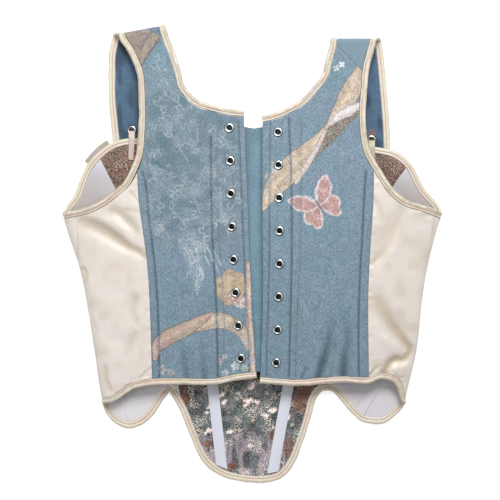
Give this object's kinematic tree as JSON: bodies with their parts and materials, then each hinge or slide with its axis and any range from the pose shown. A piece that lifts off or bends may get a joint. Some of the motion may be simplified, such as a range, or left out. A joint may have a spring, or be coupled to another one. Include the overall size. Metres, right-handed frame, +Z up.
{
  "type": "corset top laid flat",
  "caption": "Boned corset top laid flat with its laced back uppermost: blue backs, cream satin sides and bias bindings, wide shoulder straps, hip tabs and a long front tongue.",
  "frame": {"origin": "middle of the bounding box's underside, on the surface that the garment lies on", "axes": "+X to the right of the back as it is seen, +Y from hem to shoulders, +Z up from the surface to the laced back"},
  "size_m": [0.4027, 0.4841, 0.0261],
  "materials": {
    "blue_jacquard": "dusty blue woven jacquard with metallic thread line work",
    "plain_blue": "plain blue cotton twill",
    "cream_satin": "heavy cream satin with a soft sheen",
    "cream_binding": "folded cream satin bias binding",
    "white_lining": "plain white cotton lining",
    "tapestry": "reverse of a tapestry jacquard, mottled brown, teal and grey",
    "beige_jacquard": "beige and mauve side of the jacquard",
    "nickel": "bright nickel eyelet"
  },
  "bodies": {
    "root": {"back_left": "blue_jacquard", "back_right": "blue_jacquard", "side_back_left": "cream_satin", "side_back_right": "cream_satin", "side_front_left": "white_lining", "side_front_right": "white_lining", "front": "tapestry", "strap_left": "beige_jacquard", "strap_right": "blue_jacquard", "modesty_panel": "plain_blue", "boning_tape_left": "white_lining", "boning_tape_right": "white_lining", "armhole_binding_left": "cream_binding", "armhole_binding_right": "cream_binding", "neck_binding_left": "cream_binding", "neck_binding_right": "cream_binding", "back_hem_binding_left": "cream_binding", "back_hem_binding_right": "cream_binding", "front_hem_binding": "cream_binding", "front_top_binding": "cream_binding", "ribbon_tie_left": "cream_binding", "ribbon_tie_right": "cream_binding", "ribbon_tail_left": "cream_binding", "eyelet_left_1": "nickel", "eyelet_left_2": "nickel", "eyelet_left_3": "nickel", "eyelet_left_4": "nickel", "eyelet_left_5": "nickel", "eyelet_left_6": "nickel", "eyelet_left_7": "nickel", "eyelet_left_8": "nickel", "eyelet_right_1": "nickel", "eyelet_right_2": "nickel", "eyelet_right_3": "nickel", "eyelet_right_4": "nickel", "eyelet_right_5": "nickel", "eyelet_right_6": "nickel", "eyelet_right_7": "nickel", "eyelet_right_8": "nickel", "strap_eyelet_left": "nickel", "strap_eyelet_right": "nickel"}
  },
  "joints": []
}
